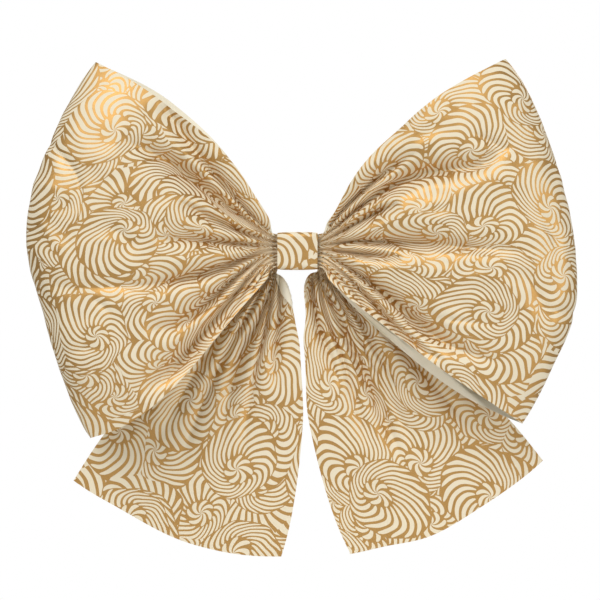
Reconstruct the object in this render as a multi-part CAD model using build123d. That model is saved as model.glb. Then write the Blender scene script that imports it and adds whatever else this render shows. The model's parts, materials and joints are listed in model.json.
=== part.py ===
"""Pre-made gift bow: two wide loops and two tails of stiff foil-printed fabric, pinched into a
centre band that is glued at the back, with a foam adhesive pad and its release liner.

Row frame, in millimetres: +Z up, the bow faces -Y, and X runs across it. The origin is behind
the band's middle, on the release liner's outer face, which lies against a gift at Y = 0.
"""

from build123d import *
import os
from math import degrees

# ---------------------------------------------------------------- driving sizes
FABRIC = 0.5  # thickness of one ply of the stiff printed fabric

LOOP_STRIP_WIDTH = 226.0  # the wide strip that is turned back on itself to make both loops
LEFT_LOOP_REACH = 152.0  # from the knot's middle to the outer turn
RIGHT_LOOP_REACH = 156.0
LEFT_LOOP_TILT = 0.6  # degrees that the loop's middle line points above the horizontal
RIGHT_LOOP_TILT = 2.0
LOOP_TURN_RADIUS = 17.0  # of the soft outer turn, where the front panel becomes the back one
LOOP_TURN_ANGLE = 162.0  # degrees of that turn, so the more, the more the front panel puffs out
LOOP_TAIL_GAP = 2.4  # from the tails' layer to the loops' back panels

TAIL_STRIP_WIDTH = 125.0
TAIL_REACH = 161.0  # from the tail's neck to its cut end
LEFT_TAIL_SPLAY = 20.0  # degrees from straight down to the tail's middle line
RIGHT_TAIL_SPLAY = 26.5
TAIL_LEAN = 1.0  # degrees that the cut end leans back towards the gift
NECK_RADIUS = 3.0  # the gathered neck of a tail
NECK_GAP = 2.5  # clear space from the band's edge to the neck

BAND_LENGTH = 22.0  # along X
BAND_HEIGHT = 21.0  # along Z
BAND_DEPTH = 16.0  # along Y
BAND_WALL = 0.8
BAND_CORNER = 3.0  # outer corner radius
FLAP_HEIGHT = 13.0  # the band's free end, lapped over its start at the back
FLAP_SHORT = 0.5  # the flap stays this far inside each edge of the band
GLUE_THICKNESS = 0.3
GLUE_LENGTH = 18.0
GLUE_HEIGHT = 6.0

GATHER_CLEARANCE = 0.1  # between the gathers and the band, and between two gathers
ROOT_GAP = 1.5  # from the band's edge to where a loop starts
WIRE_DIAMETER = 1.0
WIRE_TURNS = 2
WIRE_PITCH = 1.2
WIRE_CLEARANCE = 0.1

PAD_LENGTH = 20.0
PAD_HEIGHT = 15.0
PAD_THICKNESS = 3.0
PAD_CORNER = 1.5
LINER_THICKNESS = 0.15
LINER_MARGIN = 0.5
LINER_TAB = 6.0  # the pull tab, past the pad's right edge

# ---------------------------------------------------------------- places worked out from them
PAD_BACK_Y = -LINER_THICKNESS
FLAP_BACK_Y = PAD_BACK_Y - PAD_THICKNESS
GLUE_BACK_Y = FLAP_BACK_Y - BAND_WALL
BAND_BACK_Y = GLUE_BACK_Y - GLUE_THICKNESS
BAND_Y = BAND_BACK_Y - BAND_DEPTH / 2
GATHER_DEPTH = BAND_DEPTH - 2 * BAND_WALL - 2 * GATHER_CLEARANCE

# The strips share the band's depth by how many plies of what width are gathered there:
# the loops' front, the loops' two lapped back ends, and the tails.
GATHER_PLIES = {
    "loop_front_gather": LOOP_STRIP_WIDTH,
    "loop_back_gather": 2 * LOOP_STRIP_WIDTH,
    "tail_gather": TAIL_STRIP_WIDTH,
}


def gather_spans():
    """Each gathered layer's front and back Y, from the front of the band to its back."""
    free = GATHER_DEPTH - GATHER_CLEARANCE * (len(GATHER_PLIES) - 1)
    total = sum(GATHER_PLIES.values())
    front = BAND_Y - GATHER_DEPTH / 2
    spans = {}
    for name, share in GATHER_PLIES.items():
        back = front + free * share / total
        spans[name] = (front, back)
        front = back + GATHER_CLEARANCE
    return spans


SPANS = gather_spans()
FRONT_ROOT_Y = sum(SPANS["loop_front_gather"]) / 2
BACK_ROOT_Y = sum(SPANS["loop_back_gather"]) / 2
TAIL_ROOT_Y = sum(SPANS["tail_gather"]) / 2
LOOP_BACK_Y = TAIL_ROOT_Y - LOOP_TAIL_GAP - FABRIC
ROOT_X = BAND_LENGTH / 2 + ROOT_GAP
NECK_X = BAND_LENGTH / 2 + NECK_GAP + NECK_RADIUS
NECK_Z = -BAND_HEIGHT / 2 + NECK_RADIUS
GROOVE_WIDTH = WIRE_DIAMETER + WIRE_PITCH * (WIRE_TURNS - 1) + 2 * WIRE_CLEARANCE
GROOVE_DEPTH = WIRE_DIAMETER + WIRE_CLEARANCE


# ---------------------------------------------------------------- the band and what it holds
def tube_section(inset):
    """The band's rounded section in the YZ plane, taken in by inset all round."""
    section = RectangleRounded(
        BAND_DEPTH - 2 * inset, BAND_HEIGHT - 2 * inset, BAND_CORNER - inset
    )
    return Plane(origin=(0, BAND_Y, 0), x_dir=(0, 1, 0), z_dir=(1, 0, 0)) * section


def centre_band():
    """One flat strip wound round the gathers, with its free end lapped over its start behind."""
    wall = tube_section(0) - tube_section(BAND_WALL)
    band = Part() + extrude(wall, BAND_LENGTH / 2, both=True)
    lap_length = BAND_LENGTH - 2 * FLAP_SHORT
    flap = Pos(0, FLAP_BACK_Y - BAND_WALL / 2, 0) * Box(lap_length, BAND_WALL, FLAP_HEIGHT)
    step = Box(lap_length, FLAP_BACK_Y - BAND_BACK_Y, BAND_WALL)
    step_place = Pos(0, (FLAP_BACK_Y + BAND_BACK_Y) / 2, (FLAP_HEIGHT - BAND_WALL) / 2)
    return band + flap + step_place * step


def band_glue():
    """The line of set glue between the band and its lapped end."""
    bead = Box(GLUE_LENGTH, GLUE_THICKNESS, GLUE_HEIGHT)
    bead = fillet(bead.edges().filter_by(Axis.Y), GLUE_HEIGHT / 4)
    return Pos(0, GLUE_BACK_Y - GLUE_THICKNESS / 2, 0) * bead


def gather(name):
    """One strip's pleats, packed together inside the band, with a groove for the binding."""
    front, back = SPANS[name]
    inset = BAND_WALL + GATHER_CLEARANCE
    bundle = extrude(tube_section(inset), BAND_LENGTH / 2, both=True)
    groove = tube_section(0) - tube_section(inset + GROOVE_DEPTH)
    bundle -= extrude(groove, GROOVE_WIDTH / 2, both=True)
    layer = Pos(0, (front + back) / 2, 0) * Box(BAND_LENGTH, back - front, BAND_HEIGHT)
    return bundle & layer


def binding_wire():
    """The turns of wire that pinch every strip together, each a closed turn in the groove."""
    centre_line = BAND_WALL + GATHER_CLEARANCE + WIRE_DIAMETER / 2
    path = tube_section(centre_line).wire()
    turn = sweep(Plane(path @ 0, z_dir=path % 0) * Circle(WIRE_DIAMETER / 2), path)
    first = -WIRE_PITCH * (WIRE_TURNS - 1) / 2
    return [Pos(first + n * WIRE_PITCH, 0, 0) * turn for n in range(WIRE_TURNS)]


# ---------------------------------------------------------------- loops
def loop_section(reach):
    """One ply seen from above: back panel, outer turn and puffed front panel, as three arcs."""
    turn_back = Vector(reach - LOOP_TURN_RADIUS, LOOP_BACK_Y)
    outermost = turn_back + Vector(LOOP_TURN_RADIUS, -LOOP_TURN_RADIUS)
    back_panel = TangentArc(turn_back, (ROOT_X / 2, BACK_ROOT_Y), tangent=(-1, 0))
    centre = (turn_back.X, outermost.Y)
    turn = CenterArc(centre, LOOP_TURN_RADIUS, 90, -LOOP_TURN_ANGLE)
    front_panel = TangentArc(turn @ 1, (ROOT_X / 2, FRONT_ROOT_Y), tangent=turn % 1)
    return trace(Wire([back_panel, turn, front_panel]), line_width=FABRIC)


def loop(side, reach, tilt):
    """One loop: its section swung about the knot's middle, as the gathered strip fans out.

    The strip's two cut edges are the loop's open ends, above and below. side is -1 for the
    left loop and 1 for the right one.
    """
    fan = degrees(LOOP_STRIP_WIDTH / reach)
    swung = revolve(loop_section(reach), Axis.Y, revolution_arc=fan)
    swung = Rot(0, -fan / 2 - tilt, 0) * swung
    inside = Pos(ROOT_X / 2, BAND_Y, 0) * Box(ROOT_X, 2 * reach, 2 * reach)
    swung -= inside
    return swung if side > 0 else mirror(swung, Plane.YZ)


# ---------------------------------------------------------------- tails
def tail(side, splay):
    """One tail: a thin fan, with its cut end on an arc, on the gathered neck beside the band."""
    fan = degrees(TAIL_STRIP_WIDTH / TAIL_REACH)
    first = splay - fan / 2 - 90
    end = CenterArc((0, 0), TAIL_REACH, first, fan)
    sides = [Line((0, 0), end @ 0), Line((0, 0), end @ 1)]
    outline = Plane(origin=(0, 0, 0), x_dir=(1, 0, 0), z_dir=(0, -1, 0)) * make_face([end, *sides])
    sheet = extrude(outline, FABRIC / 2, both=True)
    sheet = Rot(TAIL_LEAN, 0, 0) * sheet
    front, back = SPANS["tail_gather"]
    neck = Cylinder(NECK_RADIUS, back - front, rotation=(90, 0, 0))
    whole = Pos(NECK_X, TAIL_ROOT_Y, NECK_Z) * (sheet + neck)
    return whole if side > 0 else mirror(whole, Plane.YZ)


# ---------------------------------------------------------------- how it sticks to a gift
def adhesive_pad():
    """Double-sided foam pad on the back of the band."""
    pad = Box(PAD_LENGTH, PAD_THICKNESS, PAD_HEIGHT)
    pad = fillet(pad.edges().filter_by(Axis.Y), PAD_CORNER)
    return Pos(0, PAD_BACK_Y - PAD_THICKNESS / 2, 0) * pad


def release_liner():
    """Waxed paper over the pad's back, with a tab to peel it by."""
    length = PAD_LENGTH + 2 * LINER_MARGIN + LINER_TAB
    sheet = Box(length, LINER_THICKNESS, PAD_HEIGHT + 2 * LINER_MARGIN)
    sheet = fillet(sheet.edges().filter_by(Axis.Y), PAD_CORNER + LINER_MARGIN)
    return Pos(LINER_TAB / 2, PAD_BACK_Y + LINER_THICKNESS / 2, 0) * sheet


# ---------------------------------------------------------------- write every node
nodes = {name: gather(name) for name in GATHER_PLIES}
nodes["centre_band"] = centre_band()
nodes["band_glue"] = band_glue()
nodes["binding_wire"] = Compound(children=binding_wire())
nodes["left_loop"] = loop(-1, LEFT_LOOP_REACH, LEFT_LOOP_TILT)
nodes["right_loop"] = loop(1, RIGHT_LOOP_REACH, RIGHT_LOOP_TILT)
nodes["left_tail"] = tail(-1, LEFT_TAIL_SPLAY)
nodes["right_tail"] = tail(1, RIGHT_TAIL_SPLAY)
nodes["adhesive_pad"] = adhesive_pad()
nodes["release_liner"] = release_liner()

os.makedirs("parts", exist_ok=True)
for name, shape in nodes.items():
    export_step(shape, f"parts/{name}.step")

print(f"knot centre y {BAND_Y:.2f}, loop roots y {FRONT_ROOT_Y:.2f} and {BACK_ROOT_Y:.2f}")
print(f"tail root y {TAIL_ROOT_Y:.2f}, neck x {NECK_X:.2f} z {NECK_Z:.2f}")
print(f"loop root x {ROOT_X:.2f}")
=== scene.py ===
# %% [markdown]
# # A pre-made gift bow in gold foil print
#
# The bow is made of flat strips of stiff fabric, printed with foil on one side. A wide strip is
# folded back into two loops, a narrower one hangs as two tails, and a short band is wrapped
# round the place where both are gathered. Each strip is cut flat here at its real size, and then
# gathered, so the print is drawn in the flat strip's own coordinates and follows every pleat.

# %% Load the frame
import bpy
import json
import numpy as np
from math import cos, pi, radians, sin, tau
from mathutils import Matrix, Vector, noise


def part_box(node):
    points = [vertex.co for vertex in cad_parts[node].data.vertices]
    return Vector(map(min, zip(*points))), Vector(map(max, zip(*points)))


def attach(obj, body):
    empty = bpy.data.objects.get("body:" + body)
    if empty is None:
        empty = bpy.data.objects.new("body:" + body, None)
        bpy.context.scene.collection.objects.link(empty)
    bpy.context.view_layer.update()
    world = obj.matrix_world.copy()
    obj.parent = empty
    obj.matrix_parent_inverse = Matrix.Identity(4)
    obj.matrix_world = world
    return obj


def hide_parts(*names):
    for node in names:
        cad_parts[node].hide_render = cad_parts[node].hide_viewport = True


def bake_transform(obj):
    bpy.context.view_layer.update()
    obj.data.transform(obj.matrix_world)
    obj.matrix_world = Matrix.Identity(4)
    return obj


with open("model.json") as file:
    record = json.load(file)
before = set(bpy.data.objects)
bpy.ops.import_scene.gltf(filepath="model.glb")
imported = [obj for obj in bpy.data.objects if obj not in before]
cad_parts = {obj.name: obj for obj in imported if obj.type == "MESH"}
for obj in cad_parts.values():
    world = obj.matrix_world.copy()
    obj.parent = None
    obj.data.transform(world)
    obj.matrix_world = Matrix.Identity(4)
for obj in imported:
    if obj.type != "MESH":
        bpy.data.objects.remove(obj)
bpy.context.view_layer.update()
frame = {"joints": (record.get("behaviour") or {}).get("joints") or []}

MM = 0.001


# %% [markdown]
# ## Small helpers
#
# Colours are given as sRGB hex values, but a shader works in linear light, so one
# function converts them. Another adds a node with its settings and its links in one line, which
# keeps a long material readable from top to bottom.

# %% Colours and nodes
def colour(hex_value):
    """A hex sRGB colour as linear RGBA."""
    channels = [int(hex_value[i : i + 2], 16) / 255 for i in (1, 3, 5)]
    linear = [c / 12.92 if c <= 0.04045 else ((c + 0.055) / 1.055) ** 2.4 for c in channels]
    return (*linear, 1.0)


def add(tree, kind, inputs=None, **settings):
    """Adds a node. inputs maps a socket's name or number to a value, a socket or another node."""
    node = tree.nodes.new("ShaderNode" + kind)
    for key, value in settings.items():
        setattr(node, key, value)
    for socket, value in (inputs or {}).items():
        if isinstance(value, bpy.types.Node):
            value = next(out for out in value.outputs if out.enabled)
        if isinstance(value, bpy.types.NodeSocket):
            tree.links.new(value, node.inputs[socket])
        else:
            node.inputs[socket].default_value = value
    return node


def smooth(low, high, x):
    """0 below low, 1 above high, and a smooth step between them."""
    t = np.clip((x - low) / (high - low), 0, 1)
    return t * t * (3 - 2 * t)


def curve_through(points):
    """A smooth curve y(x) through a few given points, level past both ends."""
    px = np.array([p[0] for p in points], float)
    py = np.array([p[1] for p in points], float)
    slopes = np.gradient(py, px)

    def value(x):
        x = np.clip(x, px[0], px[-1])
        i = np.clip(np.searchsorted(px, x, side="right") - 1, 0, len(px) - 2)
        gap = px[i + 1] - px[i]
        t = (x - px[i]) / gap
        rise = (1 + 2 * t) * (1 - t) ** 2 * py[i] + t * t * (3 - 2 * t) * py[i + 1]
        return rise + gap * (t * (1 - t) ** 2 * slopes[i] + t * t * (t - 1) * slopes[i + 1])

    return value


# %% [markdown]
# ## Camera
#
# A bow is looked at from straight in front, so both loops keep their true outline. A wide lens
# up close would swell the loops, which stand nearest to it, so a long lens from far away is used.

# %% Camera
knot_low, knot_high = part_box("centre_band")
knot = (knot_low + knot_high) / 2
bpy.ops.object.select_all(action="DESELECT")
VIEW_WIDTH = 331.5 * MM
LENS = 120.0
SENSOR = 36.0
DISTANCE = VIEW_WIDTH * LENS / SENSOR
AIM = Vector((1.4 * MM, knot.y, -27.0 * MM))
bpy.ops.object.camera_add(location=AIM - Vector((0, DISTANCE, 0)), rotation=(pi / 2, 0, 0))
camera = bpy.context.object
camera.name = "front_camera"
camera.data.lens = LENS
camera.data.sensor_width = SENSOR
bpy.context.scene.camera = camera
print(f"camera {DISTANCE:.2f} m in front of the knot")

# %% [markdown]
# ## Soft light
#
# Foil only shows its folds when it has something uneven to reflect. One strong lamp would leave
# hard glints and black folds, so a pale world gives the fill and broad soft boxes give the sheen.

# %% Light
world = bpy.context.scene.world or bpy.data.worlds.new("studio")
bpy.context.scene.world = world
world.use_nodes = True
backdrop = world.node_tree.nodes["Background"]
seen = add(world.node_tree, "LightPath")
wall = add(world.node_tree, "MapRange", {0: seen.outputs["Is Camera Ray"], 3: 0.34, 4: 1.0})
world.node_tree.links.new(wall.outputs[0], backdrop.inputs["Strength"])
backdrop.inputs["Color"].default_value = (1, 1, 1, 1)
bpy.context.scene.view_settings.view_transform = "Standard"


def soft_box(name, place, size, watts):
    """A square area light that faces the knot."""
    bpy.ops.object.light_add(type="AREA", location=place)
    box = bpy.context.object
    box.name = name
    box.data.shape = "SQUARE"
    box.data.size = size
    box.data.energy = watts
    box.rotation_euler = (Vector(place) - knot).to_track_quat("Z", "Y").to_euler()


soft_box("key_box", (-0.55, -1.1, 1.15), 1.2, 20)
soft_box("side_box", (1.2, -0.9, 0.1), 0.9, 7)
soft_box("back_box", (0.5, 1.3, 0.9), 1.0, 12)

# %% [markdown]
# ## Floor
#
# The bow lies on nothing in particular, so a plain pale disc below it is enough.

# %% Floor
bpy.ops.mesh.primitive_circle_add(vertices=96, radius=0.36, fill_type="NGON", location=(0, -0.21, -0.222))
floor = bpy.context.object
floor.name = "floor"
floor_paint = bpy.data.materials.new("matt white paint")
floor_paint.use_nodes = True
floor_paint.node_tree.nodes["Principled BSDF"].inputs["Base Color"].default_value = colour("#F1F0EE")
floor_paint.node_tree.nodes["Principled BSDF"].inputs["Roughness"].default_value = 0.9
floor.data.materials.append(floor_paint)


# %% [markdown]
# ## Gathering a strip
#
# A strip is far wider than the room it has near the knot, so its spare width goes into pleats
# that fan out from the knot and fade one after another. Each pleat's valley is drawn here as a
# line with a depth and a width at every point, because no two pleats of a hand-tied bow run
# alike. The cloth is then measured across every row, in and out of the pleats, and its flat
# width is shared out evenly along that path, so the print is squeezed where the cloth is.

# %% Fold lines
def dips(across, up, lines, strength=1.0):
    """How deep each point lies in the folds. A line is a list of (across, up, depth, width)."""
    total = np.zeros(across.shape)
    for line in lines:
        line = np.array(line, float)
        t = np.linspace(0, len(line) - 1, 5 * (len(line) - 1) + 1)
        dense = np.stack([curve_through(list(enumerate(line[:, c])))(t) for c in range(4)], -1)
        nearest = np.full(across.shape, 1e9)
        dip = np.zeros(across.shape)
        for a, b in zip(dense[:-1], dense[1:]):
            run, rise = b[:2] - a[:2]
            share = ((across - a[0]) * run + (up - a[1]) * rise) / (run * run + rise * rise)
            share = np.clip(share, 0, 1)
            away = np.hypot(across - a[0] - share * run, up - a[1] - share * rise)
            deep = a[2] + share * (b[2] - a[2])
            wide = a[3] + share * (b[3] - a[3])
            closer = away < nearest
            nearest = np.where(closer, away, nearest)
            here = deep * np.exp(-np.sqrt((away / wide) ** 2 + 0.02) + 0.14)
            dip = np.where(closer, here, dip)
        total += np.maximum(dip, 0) ** 2.5
    return strength * total ** 0.4


def spine_of(points, step):
    """Points of a smooth line, step apart, with its total length: a strip's middle line."""
    t = np.linspace(0, len(points) - 1, 4000)
    out = curve_through([(i, p[0]) for i, p in enumerate(points)])(t)
    back = curve_through([(i, p[1]) for i, p in enumerate(points)])(t)
    lengths = np.concatenate([[0], np.cumsum(np.hypot(np.diff(out), np.diff(back)))])
    s = np.linspace(0, lengths[-1], int(round(lengths[-1] / step)) + 1)
    return s, np.interp(s, lengths, out), np.interp(s, lengths, back), lengths[-1]


def even_along(shape, columns):
    """Shares from -1 to 1 for each row, spaced so that the cloth between them is equally wide.

    shape(shares) gives the points in 3-D for a grid of shares.
    """
    rough = np.linspace(-1, 1, 3 * columns + 1)
    gaps = np.linalg.norm(np.diff(shape(rough[None, :]), axis=1), axis=2)
    paths = np.concatenate([np.zeros((len(gaps), 1)), np.cumsum(gaps, 1)], 1)
    even = np.linspace(0, 1, columns + 1)
    shares = np.stack([np.interp(even * p[-1], p, rough) for p in paths])
    return shares, paths[:, -1]


def cut_strip(name, columns, rows):
    """A grid of fabric, and the column and row of each of its points."""
    bpy.ops.object.select_all(action="DESELECT")
    bpy.ops.mesh.primitive_grid_add(
        x_subdivisions=columns, y_subdivisions=rows, size=1, location=(0, 0.5, 0))
    strip = bpy.context.object
    strip.name = name
    strip.data.name = name
    bpy.ops.object.transform_apply(location=True, rotation=True, scale=True)
    flat = np.zeros(len(strip.data.vertices) * 3)
    strip.data.vertices.foreach_get("co", flat)
    flat = flat.reshape(-1, 3)
    strip.data.uv_layers[0].name = "flat_cloth"
    column = np.rint((flat[:, 0] + 0.5) * columns).astype(int)
    row = np.rint(flat[:, 1] * rows).astype(int)
    return strip, column, row


def lay(strip, places, cloth):
    """Moves a flat strip's points to their places, and writes their flat places as its UV map."""
    strip.data.vertices.foreach_set("co", places.ravel())
    corners = np.zeros(len(strip.data.loops), int)
    strip.data.loops.foreach_get("vertex_index", corners)
    strip.data.uv_layers[0].data.foreach_set("uv", cloth[corners].ravel())
    strip.data.update()


def thicken(strip, thickness, face, reverse):
    """Gives the strip its thickness behind its printed face, and its two materials."""
    bpy.ops.object.select_all(action="DESELECT")
    strip.select_set(True)
    bpy.context.view_layer.objects.active = strip
    strip.data.materials.append(face)
    strip.data.materials.append(reverse)
    solid = strip.modifiers.new("thickness", "SOLIDIFY")
    solid.thickness = thickness
    solid.offset = -1
    solid.material_offset = 1
    solid.material_offset_rim = 1
    bpy.ops.object.modifier_apply(modifier=solid.name)
    bpy.ops.object.shade_smooth_by_angle(angle=radians(50))


def crumple(across, along, size, seed):
    """Gentle uneven hollows, a few centimetres across, with soft ridges between them."""
    out = np.zeros(across.shape)
    for place in np.ndindex(*across.shape):
        where = Vector((across[place] / size, along[place] / size, seed))
        out[place] = noise.noise(where) + 0.5 * abs(noise.noise(where * 2.1 + Vector((7, 3, 0))))
    return out


# %% [markdown]
# ## The print
#
# The face is gold foil overprinted in cream. The pattern is a made-up one of overlapping swirls:
# each has a small pinwheel off its centre and a ring of curved feather strokes round it. A
# Voronoi texture scatters the swirls' centres over the flat cloth. Five such scatters lie on top
# of each other, and the topmost swirl at a point wins, which hides parts of the lower ones.

# %% Swirls
def swirls(tree, cloth, cell, shift, radius, core, strokes, curl):
    """A scatter of swirls over the cloth: the shader nodes of its strokes and of its discs.

    cell, shift, radius and core are in millimetres.
    """
    place = add(tree, "VectorMath", {0: cloth, 1: shift}, operation="ADD")
    place = add(tree, "VectorMath", {0: place, 3: 1 / cell}, operation="SCALE")
    cells = add(tree, "TexVoronoi", {"Vector": place, "Scale": 1, "Randomness": 0.66},
                voronoi_dimensions="2D")
    chance = add(tree, "SeparateColor", {0: cells.outputs["Color"]})
    away = add(tree, "VectorMath", {0: place, 1: cells.outputs["Position"]}, operation="SUBTRACT")
    away = add(tree, "VectorMath", {0: away, 3: cell}, operation="SCALE")
    rim = add(tree, "VectorMath", {0: away}, operation="LENGTH")
    lean = add(tree, "MapRange", {0: chance.outputs[0], 1: 0, 2: 1, 3: 0, 4: tau})
    lean_x = add(tree, "Math", {0: lean}, operation="COSINE")
    lean_y = add(tree, "Math", {0: lean}, operation="SINE")
    off = add(tree, "CombineXYZ", {0: lean_x, 1: lean_y})
    off = add(tree, "VectorMath", {0: off, 3: 0.3 * radius}, operation="SCALE")
    from_core = add(tree, "VectorMath", {0: away, 1: off}, operation="SUBTRACT")
    near = add(tree, "VectorMath", {0: from_core}, operation="LENGTH")

    past_core = add(tree, "Math", {0: near, 1: core}, operation="SUBTRACT")
    to_rim = add(tree, "Math", {0: radius, 1: rim}, operation="SUBTRACT")
    span = add(tree, "Math", {0: past_core, 1: to_rim}, operation="ADD")
    ring = add(tree, "Math", {0: past_core, 1: span}, operation="DIVIDE", use_clamp=True)
    in_core = add(tree, "Math", {0: past_core, 1: 0}, operation="LESS_THAN")
    centre = add(tree, "MapRange", {0: ring, 1: 0, 2: 1, 3: 1, 4: 0})
    off = add(tree, "VectorMath", {0: off, 3: centre}, operation="SCALE")
    spoke = add(tree, "VectorMath", {0: away, 1: off}, operation="SUBTRACT")
    spoke = add(tree, "SeparateXYZ", {0: spoke})
    turn = add(tree, "Math", {0: spoke.outputs[1], 1: spoke.outputs[0]}, operation="ARCTAN2")
    turn = add(tree, "Math", {0: turn, 1: 1 / tau}, operation="MULTIPLY")

    hub = add(tree, "Math", {0: near, 1: 1 / core}, operation="MULTIPLY")
    reach = add(tree, "Mix", {0: in_core, 2: ring, 3: hub})
    count = add(tree, "Mix", {0: in_core, 2: strokes, 3: 7})
    hand = add(tree, "Math", {0: chance.outputs[1], 1: 0.5}, operation="GREATER_THAN")
    hand = add(tree, "MapRange", {0: hand, 1: 0, 2: 1, 3: -1, 4: 1})
    curve = add(tree, "Mix", {0: in_core, 2: curl * strokes, 3: 1.7})
    curve = add(tree, "Math", {0: curve, 1: hand}, operation="MULTIPLY")
    sweep = add(tree, "Mix", {0: in_core, 2: 1.35, 3: 0.7})
    bent = add(tree, "Math", {0: reach, 1: sweep}, operation="POWER")
    bent = add(tree, "Math", {0: bent, 1: curve}, operation="MULTIPLY")
    phase = add(tree, "Math", {0: turn, 1: count, 2: bent}, operation="MULTIPLY_ADD")
    phase = add(tree, "Math", {0: phase, 1: 0.5}, operation="PINGPONG")
    middle = add(tree, "Math", {0: reach, 1: 2.12, 2: -1.04}, operation="MULTIPLY_ADD")
    middle = add(tree, "Math", {0: middle}, operation="ABSOLUTE")
    middle = add(tree, "Math", {0: middle, 1: 5}, operation="POWER")
    tip = add(tree, "Math", {0: reach, 1: 7}, operation="POWER")
    middle = add(tree, "Mix", {0: in_core, 2: middle, 3: tip})
    taper = add(tree, "Math", {0: 1, 1: middle}, operation="SUBTRACT", use_clamp=True)
    taper = add(tree, "Math", {0: taper, 1: 0.5}, operation="POWER")
    half = add(tree, "Math", {0: taper, 1: 0.305}, operation="MULTIPLY")
    stroke = add(tree, "Math", {0: half, 1: phase}, operation="SUBTRACT")
    stroke = add(tree, "MapRange", {0: stroke, 1: -0.035, 2: 0.035})
    disc = add(tree, "Math", {0: to_rim, 1: 0}, operation="GREATER_THAN")
    return stroke, disc


def bump_from(tree, height, distance, strength=1.0):
    """A bump from a height, with its depth in metres."""
    return add(tree, "Bump", {"Height": height, "Distance": distance, "Strength": strength})


# %% [markdown]
# ## The two faces of the cloth
#
# Foil is metal where it shows and paper-like where the cream ink covers it, so one mask drives
# the colour, the metallic share and the roughness together. A fine noise speckles the gold, as
# worn foil is. The reverse is plain unprinted cloth, a second material on the same strip.

# %% Fabric materials
foil = bpy.data.materials.new("gold foil printed fabric")
foil.use_nodes = True
tree = foil.node_tree
shader = tree.nodes["Principled BSDF"]
cloth = add(tree, "UVMap", uv_map="flat_cloth")
cloth = add(tree, "VectorMath", {0: cloth, 3: 1 / MM}, operation="SCALE")
waver = add(tree, "TexNoise", {"Vector": cloth, "Scale": 0.05, "Detail": 1})
waver = add(tree, "VectorMath", {0: waver.outputs["Color"], 1: (0.5, 0.5, 0.5)}, operation="SUBTRACT")
waver = add(tree, "VectorMath", {0: waver, 3: 7.0}, operation="SCALE")
wavy = add(tree, "VectorMath", {0: cloth, 1: waver}, operation="ADD")

ink = None
for cell, shift, radius, core, strokes, curl in (
    (40, (11, 5, 0), 36, 7, 24, 0.15),
    (48, (52, 19, 0), 23, 7.5, 20, 0.16),
    (53, (31, 47, 0), 24, 8, 20, 0.17),
    (60, (7, 23, 0), 25, 8.5, 21, 0.16),
    (69, (0, 0, 0), 24, 8.5, 20, 0.17),
):
    stroke, disc = swirls(tree, wavy, cell, shift, radius, core, strokes, curl)
    ink = stroke if ink is None else add(tree, "Mix", {0: disc, 2: ink, 3: stroke})

speck = add(tree, "TexNoise", {"Vector": cloth, "Scale": 1.6, "Detail": 2, "Roughness": 0.7})
wear = add(tree, "MapRange", {0: speck.outputs[0], 1: 0.3, 2: 0.7, 3: -0.16, 4: 0.16})
ink = add(tree, "Math", {0: ink, 1: wear}, operation="ADD")
ink = add(tree, "MapRange", {0: ink, 1: 0.35, 2: 0.65})
gold = add(tree, "Mix", {0: speck.outputs[0], 6: colour("#B4874B"), 7: colour("#D6AE6E")},
           data_type="RGBA")
face = add(tree, "Mix", {0: ink, 6: gold.outputs[2], 7: colour("#E8DCC0")}, data_type="RGBA")
metal = add(tree, "MapRange", {0: ink, 1: 0, 2: 1, 3: 0.85, 4: 0.0})
matt = add(tree, "MapRange", {0: ink, 1: 0, 2: 1, 3: 0.52, 4: 0.74})
tree.links.new(face.outputs[2], shader.inputs["Base Color"])
tree.links.new(metal.outputs[0], shader.inputs["Metallic"])
tree.links.new(matt.outputs[0], shader.inputs["Roughness"])
tree.links.new(bump_from(tree, speck.outputs[0], 0.06 * MM).outputs[0], shader.inputs["Normal"])

plain = bpy.data.materials.new("cream fabric reverse")
plain.use_nodes = True
tree = plain.node_tree
shader = tree.nodes["Principled BSDF"]
cloth = add(tree, "UVMap", uv_map="flat_cloth")
cloth = add(tree, "VectorMath", {0: cloth, 3: 1 / MM}, operation="SCALE")
fibre = add(tree, "TexNoise", {"Vector": cloth, "Scale": 2.2, "Detail": 3})
paper = add(tree, "Mix", {0: fibre.outputs[0], 6: colour("#E6DCC0"), 7: colour("#F4EFE0")},
            data_type="RGBA")
tree.links.new(paper.outputs[2], shader.inputs["Base Color"])
shader.inputs["Roughness"].default_value = 0.8
tree.links.new(bump_from(tree, fibre.outputs[0], 0.08 * MM).outputs[0], shader.inputs["Normal"])
FABRIC = 0.22 * MM


# %% [markdown]
# ## The loops
#
# One wide strip makes both loops. Each half leaves the band at the front, puffs forward, turns
# softly at its outer edge and comes back behind. The strip is followed from the band's middle
# outward, so its length is the length of that line. The folds of each panel level off within a
# share of the space between the two, or one panel would dip through the other. A cloth simulation
# could gather the strip too, but it wouldn't put the folds where they are wanted, so they are
# drawn. They take up only about seven tenths of the cloth that a real gather holds.

# %% Loop strip
front_low, front_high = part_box("loop_front_gather")
back_low, back_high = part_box("loop_back_gather")
BAND_HALF = knot_high.x / MM
LOOP_WIDTH = 226.0
ROW_STEP = 1.6
COLUMNS = 170
KNOT_HALF = 8.8  # half the height that the strip is gathered to inside the band
FRONT_FOLD_DEPTH, BACK_FOLD_DEPTH = 2.0, 2.8  # how much deeper the folds run than drawn
# Of the space between the panels. They add up to more than 1, as deep folds seldom lie back to back.
FRONT_SHARE, BACK_SHARE = 0.7, 0.4
PANEL_SPACE = curve_through([(10, 3), (14, 4), (18, 6.5), (22, 10.5), (30, 17), (45, 23),
                             (70, 29), (110, 31)])
BAND_PLEATS, BAND_PLEAT_DEPTH = 21, 1.75
BACK_GATHERS, BACK_GATHER_DEPTH = 25, 2.4
PUCKER = 2.4


def held_within(depth, most):
    """Depths that level off below the most that there is room for."""
    return most * np.tanh(depth / most)


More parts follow.
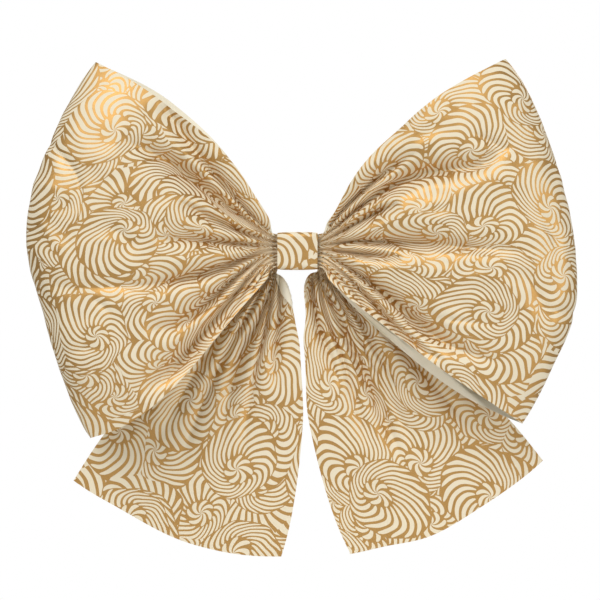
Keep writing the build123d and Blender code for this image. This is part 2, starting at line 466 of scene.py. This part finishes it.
def loop_sheet(name, side, edges, back_edges, outline, folds, back_folds, seed):
    """One loop, from the middle of the band round to the middle again, in millimetres.

    edges are the front panel's top and bottom edge, as degrees above the horizontal by distance
    from the knot, and back_edges the back panel's. outline is by how much the loop's outer end
    departs from a round one, in millimetres by degrees.
    """
    low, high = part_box(name)
    reach = max(abs(low.x), abs(high.x)) / MM
    puff, back = low.y / MM, high.y / MM
    front_y = (front_low.y + front_high.y) / 2 / MM
    back_y = (back_low.y + back_high.y) / 2 / MM
    line = [
        (0, front_y), (BAND_HALF, front_y), (0.22 * reach, 0.5 * front_y + 0.5 * puff),
        (0.55 * reach, puff + 2.0), (0.86 * reach, puff + 4.5), (0.98 * reach, puff + 14),
        (0.985 * reach, back - 15), (0.88 * reach, back - 7), (0.6 * reach, back - 4.5),
        (0.25 * reach, back - 4.0), (BAND_HALF, back_y), (0, back_y),
    ]
    s, rho, y, length = spine_of(line, ROW_STEP)
    is_back = smooth(-12, 12, s - s[int(np.argmax(rho))])
    top = np.radians(edges[0](rho) * (1 - is_back) + back_edges[0](rho) * is_back)
    bottom = np.radians(edges[1](rho) * (1 - is_back) + back_edges[1](rho) * is_back)
    fan = smooth(9, 24, rho)[:, None]
    outer = smooth(0.55 * reach, reach, rho)[:, None]
    near_knot = (smooth(18, 30, rho) * (1 - smooth(36, 108, rho)))[:, None]
    space = PANEL_SPACE(rho)[:, None]
    step_out, step_back = np.gradient(rho, s), np.gradient(y, s)
    mix = is_back[:, None]

    def shape(shares):
        shares = np.broadcast_to(shares, (len(s), shares.shape[1]))
        angle = ((top + bottom) / 2)[:, None] + shares * ((top - bottom) / 2)[:, None]
        angle_deg = np.degrees(angle)
        radius = rho[:, None] * (1 + outline(angle_deg) / 150 * outer)
        x = radius * np.cos(angle) * fan + rho[:, None] * (1 - fan)
        z = radius * np.sin(angle) * fan + shares * KNOT_HALF * (1 - fan)
        front_dips = held_within(dips(x, z, folds, FRONT_FOLD_DEPTH), FRONT_SHARE * space)
        back_dips = held_within(dips(x, z, back_folds, BACK_FOLD_DEPTH), BACK_SHARE * space)
        wander = 1.5 * billow(shares)
        gathers = BACK_GATHER_DEPTH * near_knot * np.sin(shares * pi * BACK_GATHERS + wander)
        depth = front_dips * (1 - mix) + (back_dips + gathers) * mix
        loose = smooth(20, 75, rho)[:, None] * (1 - 0.4 * mix)
        depth = depth + billow(shares) * PUCKER * loose
        tight = 1 - smooth(BAND_HALF - 4, BAND_HALF - 0.5, rho)[:, None]
        pleats = BAND_PLEAT_DEPTH * np.sin(shares * pi * BAND_PLEATS)
        depth = depth * (1 - tight) + tight * pleats
        round_off = 1 - 0.24 * np.abs(shares) ** 3 * (1 - mix)
        away = front_y + (y[:, None] - front_y) * round_off
        tilt_out, tilt_back = -step_back[:, None], step_out[:, None]
        return np.stack([side * (x + tilt_out * depth * np.cos(angle)),
                         away + tilt_back * depth,
                         z + tilt_out * depth * np.sin(angle)], -1)

    coarse = np.linspace(-1, 1, 60)
    grid_v, grid_s = np.meshgrid(coarse * LOOP_WIDTH / 2, s)
    rough = crumple(grid_v, grid_s, 36, seed)

    def billow(shares):
        return np.stack([np.interp(row, coarse, line) for row, line in zip(shares, rough)])

    shares, widths = even_along(shape, COLUMNS)
    places = shape(shares) * MM
    rows = len(s) - 1
    sheet, j, i = cut_strip(name + "_sheet", COLUMNS, rows)
    cloth = np.stack([(j / COLUMNS - 0.5) * LOOP_WIDTH, side * i / rows * length], -1) * MM
    lay(sheet, places[i, j], cloth)
    front = slice(0, int(np.argmax(rho)))
    print(f"{name}: strip {LOOP_WIDTH:.0f} x {length:.0f} mm, cloth across its front panel at",
          {r: int(np.interp(r, rho[front], widths[front])) for r in (20, 40, 80, 120)})
    return sheet, length


# The left loop's valleys. The first numbers of a line are at the band.
LEFT_FOLDS = [
    [(9, 8.2, 1.2, 0.5), (15, 10.2, 2.4, 0.7), (26, 20.5, 4.5, 1.4), (41, 37, 6.5, 2.8),
     (56, 55, 5.5, 4.5), (66, 69, 4, 4.5), (75, 80, 0, 3)],
    [(9, 6.4, 1.2, 0.5), (15, 8.0, 2.8, 0.7), (25, 15.2, 6, 1.5), (40, 25.5, 10, 2.8),
     (56, 38, 11.5, 4.5), (69, 47, 8.5, 5.5), (82, 54, 4, 6), (96, 58, 0, 5)],
    [(9, 4.2, 1.2, 0.5), (15, 5.2, 2.4, 0.7), (26, 8.6, 4.2, 1.3), (40, 14.4, 5, 2.4), (56, 22, 3, 3.6),
     (66, 27, 0, 4)],
    [(9, 2.2, 1.2, 0.5), (15, 2.6, 2.4, 0.7), (27, 3.0, 4.4, 1.3), (42, 4.4, 5, 2.2), (60, 5.5, 3, 3.5),
     (78, 5, 0, 4)],
    [(9, 0.3, 1.2, 0.5), (15, 0.2, 2.8, 0.7), (26, -4.0, 5, 1.3), (38, -8.8, 6.5, 2.2),
     (56, -14.1, 6, 3.0), (83, -19, 2.2, 3.8), (120, -20, 0.7, 4.5), (146, -19, 0.2, 4.5)],
    [(9, -1.6, 1.2, 0.5), (15, -2.0, 2.6, 0.7), (26.6, -9.8, 5, 1.3), (39, -20.5, 7, 2.4),
     (50, -30, 7, 4), (66, -40, 4.5, 5.5), (84, -45, 0, 6)],
    [(9, -3.6, 1.2, 0.5), (15, -4.2, 2.6, 0.7), (25, -14.5, 5, 1.4), (36, -28, 7.5, 2.4),
     (48, -42, 8.5, 3.6), (66, -62, 6, 5), (84, -80, 0, 6)],
    [(9, -5.6, 1.2, 0.5), (15, -6.4, 2.2, 0.7), (24, -17.5, 3.6, 1.2), (33, -29, 3.6, 2.0),
     (42, -39.5, 2, 2.4), (50, -48, 0, 3)],
    [(9, -7.4, 1.0, 0.4), (14, -8.4, 1.6, 0.5), (22, -18.5, 2.0, 0.9), (30, -29, 0, 1.2)],
    [(140, 62, 0, 2), (134, 57, 0.9, 2.5), (119, 40, 1.3, 3), (117, 20, 0, 3)],
    [(77, 85, 0, 1.5), (70, 76, 1.6, 1.6), (65, 67, 0.5, 2)],
    [(105, 15, 0, 3), (93, 7, 0.9, 3), (88, -3, 0, 3)],
    [(113, -24, 0, 2.5), (105, -30, 0.8, 2.5), (98, -35, 0, 2.5)],
    [(128, -60, 0, 3), (118, -54, 0.8, 3), (104, -52, 0, 3)],
]
RIGHT_FOLDS = [
    [(9, 7.6, 1.2, 0.5), (14, 10.0, 2.4, 0.7), (23, 20.5, 4.4, 1.4), (39, 35.5, 6, 2.6),
     (54, 46, 3.6, 4), (68, 54, 0, 4)],
    [(9, 5.6, 1.2, 0.5), (14, 7.6, 2.6, 0.7), (31, 21.5, 6, 1.8), (47, 32.2, 8.5, 3.2),
     (64, 39.5, 8.5, 5), (83, 43.2, 6.5, 6), (97, 45, 4, 5), (112, 53, 0, 3)],
    [(9, 4.0, 1.2, 0.5), (14, 5.2, 2.4, 0.7), (28, 12.8, 4.6, 1.5), (42, 20, 5, 2.4), (56, 26, 0, 3)],
    [(9, 2.2, 1.2, 0.5), (14, 2.8, 2.4, 0.7), (31, 4.6, 4.8, 1.5), (50, 4.0, 6, 2.8), (72, 3, 5.5, 4.5),
     (96, 0.6, 3.5, 5), (128, -1.1, 0, 5)],
    [(9, 0.3, 1.2, 0.5), (14, 0.5, 2.2, 0.7), (31, -1.6, 4.2, 1.4), (44, -2.7, 3.5, 2.2), (58, -4.3, 0, 3)],
    [(9, -1.6, 1.2, 0.5), (14, -2.2, 2.6, 0.7), (31, -12.4, 6, 1.7), (47, -24, 8.5, 2.8),
     (58, -34, 9, 3.6), (72, -45, 8, 4.5), (88, -54, 4, 5.5), (112, -62, 0, 5)],
    [(9, -3.4, 1.2, 0.5), (14, -4.4, 2.4, 0.7), (27, -15.4, 5, 1.5), (40, -28.5, 6.5, 2.5),
     (53, -42, 6.5, 3.2), (68, -54, 3.4, 4), (82, -61, 0, 4)],
    [(9, -5.4, 1.2, 0.5), (14, -6.4, 2.2, 0.7), (24, -16.5, 3.6, 1.2), (36, -29, 3.6, 2.0),
     (48, -40.5, 0, 2.6)],
    [(9, -7.4, 1.0, 0.4), (14, -8.2, 1.6, 0.5), (22, -17.8, 2.0, 0.9), (30, -27, 0, 1.2)],
    [(91, 64, 0, 2), (104, 58, 1.6, 2.2), (111, 54, 1.2, 2.2)],
    [(111, 54, 1.2, 2.2), (99, 49, 1.6, 2.2), (86, 41, 0.6, 3)],
    [(119, -9, 0, 3), (128, -22, 1.0, 3.4), (135, -32, 1.2, 3), (153, -34, 0.6, 3)],
    [(57, -35, 0.5, 2.5), (76, -37, 1.3, 2.5), (95, -39, 0.8, 2.5), (112, -42, 0, 2.5)],
    [(128, 20, 0, 3), (138, 8, 0.9, 3), (142, -8, 0, 3)],
]
BACK_FOLDS = [
    [(9, 7, 1.2, 0.5), (15, 9.5, 2.2, 0.7), (30, 24, 4, 1.8), (60, 50, 4, 3.5), (90, 76, 0, 4)],
    [(9, 4.4, 1.2, 0.5), (15, 5.6, 2.2, 0.7), (32, 16, 5, 1.9), (62, 33, 6, 4), (100, 50, 0, 6)],
    [(9, 2, 1.2, 0.5), (15, 2.4, 2.2, 0.7), (33, 5, 4, 1.8), (60, 9, 3, 4), (80, 12, 0, 4)],
    [(9, -0.6, 1.2, 0.5), (15, -1, 2.2, 0.7), (33, -6, 5, 1.9), (66, -12, 6, 4), (112, -18, 0, 6)],
    [(9, -3.2, 1.2, 0.5), (15, -4, 2.2, 0.7), (31, -17, 4, 1.8), (56, -33, 4, 3.5), (84, -48, 0, 5)],
    [(9, -6, 1.2, 0.5), (15, -7.2, 2.2, 0.7), (28, -24, 4, 1.8), (50, -44, 4, 3.4), (80, -70, 0, 4)],
    [(15, 4, 1.4, 0.7), (34, 10.5, 4, 1.7), (64, 21, 5, 3), (108, 34, 4, 5), (130, 41, 0, 5)],
    [(15, 0.6, 1.4, 0.7), (34, -0.6, 4, 1.7), (66, -2, 5, 3), (112, -2, 3.5, 5), (138, 0, 0, 6)],
    [(15, -5.4, 1.4, 0.7), (32, -21, 4, 1.7), (56, -44, 5, 3), (92, -76, 3.5, 5), (110, -92, 0, 5)],
    [(15, 7.4, 1.4, 0.7), (30, 20, 4, 1.7), (58, 41, 5, 3), (96, 68, 3.5, 5), (118, 84, 0, 5)],
    [(15, -2.2, 1.4, 0.7), (33, -11, 4, 1.7), (64, -24, 5, 3), (104, -42, 4, 5), (130, -54, 0, 5)],
]

left_sheet, left_length = loop_sheet(
    "left_loop", -1,
    (curve_through([(12, 41), (24, 49), (40, 52.5), (105, 48), (152, 43)]),
     curve_through([(12, -42), (30, -44.5), (60, -47), (105, -47.8), (135, -45.2), (152, -42.2)])),
    (curve_through([(12, 42), (24, 48.5), (45, 52.5), (105, 50), (152, 43)]),
     curve_through([(12, -40), (40, -44), (100, -45), (152, -42.2)])),
    # flattest a little below the middle, fullest just above it
    curve_through([(-43, 0.5), (-14, -8.5), (6, -3), (24, -5), (43, -1.5)]),
    LEFT_FOLDS, BACK_FOLDS, 3.7,
)
right_sheet, right_length = loop_sheet(
    "right_loop", 1,
    (curve_through([(12, 41), (22, 43.5), (40, 50.5), (90, 49.5), (156, 42.5)]),
     curve_through([(12, -42), (30, -43), (60, -41), (105, -39.5), (135, -38.2), (156, -37.6)])),
    (curve_through([(12, 40), (30, 46), (50, 49.6), (80, 49.2), (115, 47), (156, 42.6)]),
     curve_through([(12, -40), (40, -44.5), (80, -43.4), (120, -41.2), (156, -37.6)])),
    curve_through([(-38, -0.5), (-22, -3.5), (-9, -2), (8, -5.5), (43, -2.5)]),
    RIGHT_FOLDS, BACK_FOLDS, 9.1,
)


# %% [markdown]
# ## The tails
#
# The narrower strip is pinched at the same place and hangs behind the loops. Its pleats open
# quickly, so its inner edge swings out towards the middle before it runs straight down.

# %% Tail strips
tail_gather_low, tail_gather_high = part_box("tail_gather")
TAIL_WIDTH = 125.0
TAIL_REACH = 161.0
TAIL_COLUMNS = 100
TAIL_FOLD_DEPTH = 1.7
TAIL_PUCKER = 1.6


def tail_sheet(name, side, inner_edge, outer_edge, outline, folds, seed, flap):
    joint = next(j for j in frame["joints"] if j["child"] == name)
    neck_x, _, neck_z = [abs(v) / MM for v in joint["pos_m"]]
    gather_y = (tail_gather_low.y + tail_gather_high.y) / 2 / MM
    line = [(-17, gather_y), (0, gather_y), (30, gather_y - 1.5), (80, gather_y - 1.0),
            (125, gather_y + 0.5), (TAIL_REACH, gather_y + 1.2)]
    s, rho, y, length = spine_of(line, ROW_STEP)
    hang = np.maximum(rho, 0)[:, None]
    first, last = np.radians(inner_edge(rho))[:, None], np.radians(outer_edge(rho))[:, None]
    fan = smooth(0, 11, rho)[:, None]
    # the inner corner is turned over towards the front just below the band
    turned = flap * (smooth(2, 6, rho) * (1 - smooth(14, 30, rho)))[:, None] + 1e-4
    inside = 1 - smooth(-16, 3, rho)[:, None]

    coarse = np.linspace(-1, 1, 40)
    grid_v, grid_s = np.meshgrid(coarse * TAIL_WIDTH / 2, s)
    rough = crumple(grid_v, grid_s, 34, seed)

    def shape(shares):
        shares = np.broadcast_to(shares, (len(s), shares.shape[1]))
        part = (shares + 1) / 2
        over = part < turned
        spread = np.where(over, (turned - part) * 1.5, (part - turned) / (1 - turned)) * 2 - 1
        angle = (first + last) / 2 + spread * (last - first) / 2
        radius = hang * (1 + outline(np.degrees(angle)) / 160 * smooth(90, 160, hang))
        out = neck_x + radius * np.sin(angle) * fan + shares * 6.0 * (1 - fan)
        down = neck_z + radius * np.cos(angle) * fan + rho[:, None] * (1 - fan)
        billow = np.stack([np.interp(row, coarse, line) for row, line in zip(shares, rough)])
        depth = dips(out, -down, folds, TAIL_FOLD_DEPTH) - 2.6 * smooth(2, 30, rho)[:, None]
        depth = depth + billow * TAIL_PUCKER * smooth(15, 60, rho)[:, None]
        tight = 1 - smooth(-2, 6, rho)[:, None]
        depth = depth * (1 - tight) + tight * np.sin(shares * pi * BAND_PLEATS)
        lift = np.where(over, np.minimum((turned - part) * 30, 1.6), 0)
        depth = depth - lift * smooth(2, 6, rho)[:, None]
        out = out * (1 - inside)
        down = down * (1 - inside) - shares * 7.0 * inside
        return np.stack([side * out, y[:, None] + depth, -down], -1)

    shares, widths = even_along(shape, TAIL_COLUMNS)
    places = shape(shares) * MM
    rows = len(s) - 1
    sheet, j, i = cut_strip(name + "_sheet", TAIL_COLUMNS, rows)
    cloth = np.stack([(j / TAIL_COLUMNS - 0.5) * TAIL_WIDTH + 400, side * i / rows * length], -1) * MM
    lay(sheet, places[i, j], cloth)
    print(f"{name}: strip {TAIL_WIDTH:.0f} x {length:.0f} mm, cloth across it at",
          {r: int(np.interp(r, rho, widths)) for r in (20, 60, 120)})
    return sheet, length


left_tail, left_tail_length = tail_sheet(
    "left_tail", -1,
    curve_through([(0, -62), (14, -47), (26, -32), (50, -21), (90, -12.5), (162, -2.5)]),
    curve_through([(0, 60), (30, 52), (90, 46), (134, 43.8), (162, 41.9)]),
    curve_through([(-3, 1), (16, -0.5), (32, -2.8), (42, 0)]),
    [
        [(11, -8, 1.5, 0.8), (10, -18, 3, 1.2), (10, -39, 4, 2.2), (12.5, -58, 3, 3.2), (16.5, -78, 0, 4)],
        [(14, -8, 1.5, 0.8), (13, -14, 3, 1.2), (20.4, -36.5, 4.5, 2.4), (31, -58, 4.5, 4),
         (39, -84, 2.5, 5), (44, -112, 0, 5)],
        [(17, -8, 1.5, 0.8), (16, -15.5, 3, 1.2), (33.6, -34, 4.5, 2.6), (49.4, -55, 4.0, 4),
         (65, -81, 2, 6), (80, -112, 0, 6)],
        [(20, -8, 1.5, 0.8), (22, -14, 3, 1.2), (46, -32, 4, 2.8), (78, -60, 2.5, 5), (100, -85, 0, 5)],
        [(12, -12, 2.0, 0.8), (16, -35, 3.5, 1.6), (22, -62, 3, 2.4), (28, -92, 2, 4), (31, -118, 0, 4)],
        [(15, -12, 2.0, 0.8), (27, -35, 3.5, 1.8), (42, -62, 3, 3), (56, -92, 2, 4), (66, -120, 0, 5)],
        [(18, -12, 2.0, 0.8), (39, -33, 3.5, 1.8), (64, -58, 3, 3), (88, -84, 2, 5), (106, -104, 0, 5)],
    ], 5.2, 0.13,
)
right_tail, right_tail_length = tail_sheet(
    "right_tail", 1,
    curve_through([(0, -75), (12, -60), (24, -31), (45, -17), (86, -7), (160, 4.5)]),
    curve_through([(0, 60), (30, 56), (80, 52), (128, 49.9), (162, 47.7)]),
    curve_through([(4, 0), (12, -1.5), (20, 0), (33, -2), (48, 0.4)]),
    [
        [(10, -8, 1.5, 0.8), (8, -18, 3, 1.2), (11, -39, 4, 2.2), (17.7, -58, 3, 3.2), (24, -78, 0, 4)],
        [(13, -8, 1.5, 0.8), (12, -15.5, 3, 1.2), (21.7, -34, 4.5, 2.4), (34.8, -63, 5, 3.6),
         (48, -92, 3.5, 4.5), (60, -124, 0, 5)],
        [(17, -8, 1.5, 0.8), (17, -15.5, 3, 1.2), (32.2, -34, 4.5, 2.6), (45.3, -57.6, 4.0, 4),
         (66, -88, 0, 6)],
        [(20, -8, 1.5, 0.8), (22, -14, 3, 1.2), (46, -34, 4, 2.8), (78, -60, 2.5, 5), (104, -88, 0, 5)],
        [(11, -12, 2.0, 0.8), (16, -35, 3.5, 1.6), (26, -62, 3, 2.4), (35, -92, 2, 4), (41, -118, 0, 4)],
        [(14, -12, 2.0, 0.8), (27, -34, 3.5, 1.8), (41, -60, 3, 3), (57, -92, 2, 4), (70, -120, 0, 5)],
        [(18, -12, 2.0, 0.8), (39, -33, 3.5, 1.8), (62, -58, 3, 3), (88, -88, 2, 5), (106, -108, 0, 5)],
    ], 7.4, 0.0,
)

# %% [markdown]
# ## Faces and thickness
#
# Each strip still is a surface without thickness. Its printed face is turned outward and a thin
# reverse is added behind it.

# %% Put the sheets together
def finish_sheet(sheet, flipped, node):
    """Turns the printed face outward, adds the thickness, and hides the CAD part that the sheet replaces."""
    if flipped:
        bpy.ops.object.select_all(action="DESELECT")
        sheet.select_set(True)
        bpy.context.view_layer.objects.active = sheet
        bpy.ops.object.mode_set(mode="EDIT")
        bpy.ops.mesh.select_all(action="SELECT")
        bpy.ops.mesh.flip_normals()
        bpy.ops.object.mode_set(mode="OBJECT")
    thicken(sheet, FABRIC, foil, plain)
    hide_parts(node)
    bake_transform(sheet)


finish_sheet(left_sheet, False, "left_loop")
finish_sheet(right_sheet, True, "right_loop")
finish_sheet(left_tail, False, "left_tail")
finish_sheet(right_tail, True, "right_tail")
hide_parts("loop_front_gather", "loop_back_gather")
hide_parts("tail_gather")


# %% [markdown]
# ## The band
#
# A short strip of the same fabric is wrapped once round the gathers and lapped over itself at
# the back, where the glue holds it. It is drawn tight over the pleats, so its front swells a
# little and its edges pull in over them.

# %% Band strip
BAND_WIDTH = (knot_high.x - knot_low.x) / MM
tube_front, tube_back = knot_low.y / MM, -4.25
half_height = knot_high.z / MM
skin = FABRIC / MM / 2
corner = 3.0
lap_y = knot_high.y / MM - skin - 0.2


def rounded(centre_y, centre_z, start, end, steps=10):
    """Points on a corner's arc; angles in degrees from +Y towards +Z."""
    turns = np.radians(np.linspace(start, end, steps))
    return [(centre_y + (corner - skin) * cos(t), centre_z + (corner - skin) * sin(t)) for t in turns]


path = [(tube_back - skin, 5.0), (tube_back - skin, -half_height + corner)]
path += rounded(tube_back - corner, -half_height + corner, 0, -90)
path += rounded(tube_front + corner, -half_height + corner, -90, -180)
path += rounded(tube_front + corner, half_height - corner, 180, 90)
path += rounded(tube_back - corner, half_height - corner, 90, 20)
path += [(tube_back + 0.1, half_height - corner - 1.4), (lap_y, half_height - corner - 3.6)]
path += [(lap_y, -6.0)]
path = np.array(path)
lengths = np.concatenate([[0], np.cumsum(np.linalg.norm(np.diff(path, axis=0), axis=1))])
BAND_STRIP = lengths[-1]
BAND_COLUMNS, BAND_ROWS = 50, 220
band, j, i = cut_strip("band_strip", BAND_COLUMNS, BAND_ROWS)
across = j / BAND_COLUMNS * 2 - 1
run = i / BAND_ROWS * BAND_STRIP
band_y, band_z = np.interp(run, lengths, path[:, 0]), np.interp(run, lengths, path[:, 1])
on_front = smooth(tube_front + 6, tube_front + 1.5, band_y)
ripple = np.sin(across * 7.0 + band_z * 0.25) * 0.10 + np.sin(across * 15 - band_z * 0.4) * 0.05
band_y = band_y - on_front * ripple + on_front * 0.5 * np.abs(across) ** 3
pull = 1 - 0.045 * np.abs(across) ** 4
places = np.stack([across * BAND_WIDTH / 2, band_y, band_z * pull], -1) * MM
cloth = np.stack([across * BAND_WIDTH / 2 + 57, run + 29], -1) * MM
lay(band, places, cloth)
thicken(band, 2 * skin * MM, foil, plain)
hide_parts("centre_band")
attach(band, "knot")
print(f"band: strip {BAND_WIDTH:.0f} x {BAND_STRIP:.0f} mm")

# %% [markdown]
# ## The parts behind
#
# Two turns of wire pinch the pleats inside the band, and a bead of hot glue holds the band's lap.
# A foam pad with glue on both faces sticks the bow down, and its outer face is still covered by
# a waxed paper that is peeled off first. The pad is soft foam, so its block is crowned a little.

# %% Foam pad
pad_low, pad_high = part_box("adhesive_pad")
bpy.ops.object.select_all(action="DESELECT")
bpy.ops.mesh.primitive_cube_add(size=1, location=(pad_low + pad_high) / 2)
pad = bpy.context.object
pad.name = "foam_pad"
pad.data.name = "foam_pad"
pad.scale = pad_high - pad_low
bpy.ops.object.transform_apply(location=True, rotation=True, scale=True)
bevel = pad.modifiers.new("cut corners", "BEVEL")
bevel.width = 1.2 * MM
bevel.segments = 5
bevel.limit_method = "ANGLE"
bpy.ops.object.modifier_apply(modifier=bevel.name)
bpy.ops.object.mode_set(mode="EDIT")
bpy.ops.mesh.select_all(action="SELECT")
bpy.ops.mesh.subdivide(number_cuts=3)
bpy.ops.object.mode_set(mode="OBJECT")
middle = (pad_low + pad_high) / 2
half = pad_high - middle
for point in pad.data.vertices:
    side = max(abs(point.co.x - middle.x) / half.x, abs(point.co.z - middle.z) / half.z)
    waist = 1 - ((point.co.y - middle.y) / half.y) ** 2
    squeeze = 1 - 0.022 * waist * side
    point.co.x = middle.x + (point.co.x - middle.x) * squeeze
    point.co.z = middle.z + (point.co.z - middle.z) * squeeze
bpy.ops.object.shade_smooth_by_angle(angle=radians(40))
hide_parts("adhesive_pad")
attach(pad, "knot")


# %% [markdown]
# ## Finishes of the small parts
#
# The wire, the glue and the liner keep their CAD shapes, which are plain already. They and the
# foam differ only in two near colours, their grain, roughness and metal, so one function with
# those as values makes all four.

# %% Small parts' materials
def simple_material(name, low, high, scale, rough, metal, depth):
    """Two near colours mixed by a fine noise, scale in grains per metre, and a bump in metres."""
    made = bpy.data.materials.new(name)
    made.use_nodes = True
    tree = made.node_tree
    shader = tree.nodes["Principled BSDF"]
    place = add(tree, "TexCoord")
    grain = add(tree, "TexNoise", {"Vector": place.outputs["Object"], "Scale": scale, "Detail": 4})
    tone = add(tree, "Mix", {0: grain, 6: colour(low), 7: colour(high)}, data_type="RGBA")
    spread = add(tree, "MapRange", {0: grain, 1: 0.3, 2: 0.7, 3: rough - 0.08, 4: rough + 0.08})
    bump = bump_from(tree, grain.outputs[0], depth)
    tree.links.new(tone.outputs[2], shader.inputs["Base Color"])
    tree.links.new(spread.outputs[0], shader.inputs["Roughness"])
    tree.links.new(bump.outputs[0], shader.inputs["Normal"])
    shader.inputs["Metallic"].default_value = metal
    return made


foam = simple_material("white polyethylene foam", "#DCDAD2", "#F2F1EC", 2600, 0.75, 0.0, 0.15 * MM)
pad.data.materials.append(foam)
for node, made in (
    ("binding_wire", simple_material("brass binding wire", "#9A7A3E", "#C9A866", 4000, 0.38, 1.0, 0.02 * MM)),
    ("band_glue", simple_material("clear hot melt glue", "#DDD3B4", "#EFE8D0", 900, 0.25, 0.0, 0.05 * MM)),
    ("release_liner", simple_material("waxed liner paper", "#E9E7E0", "#F7F6F2", 1500, 0.42, 0.0, 0.01 * MM)),
):
    part = bpy.data.objects[node]
    part.data.materials.clear()
    part.data.materials.append(made)
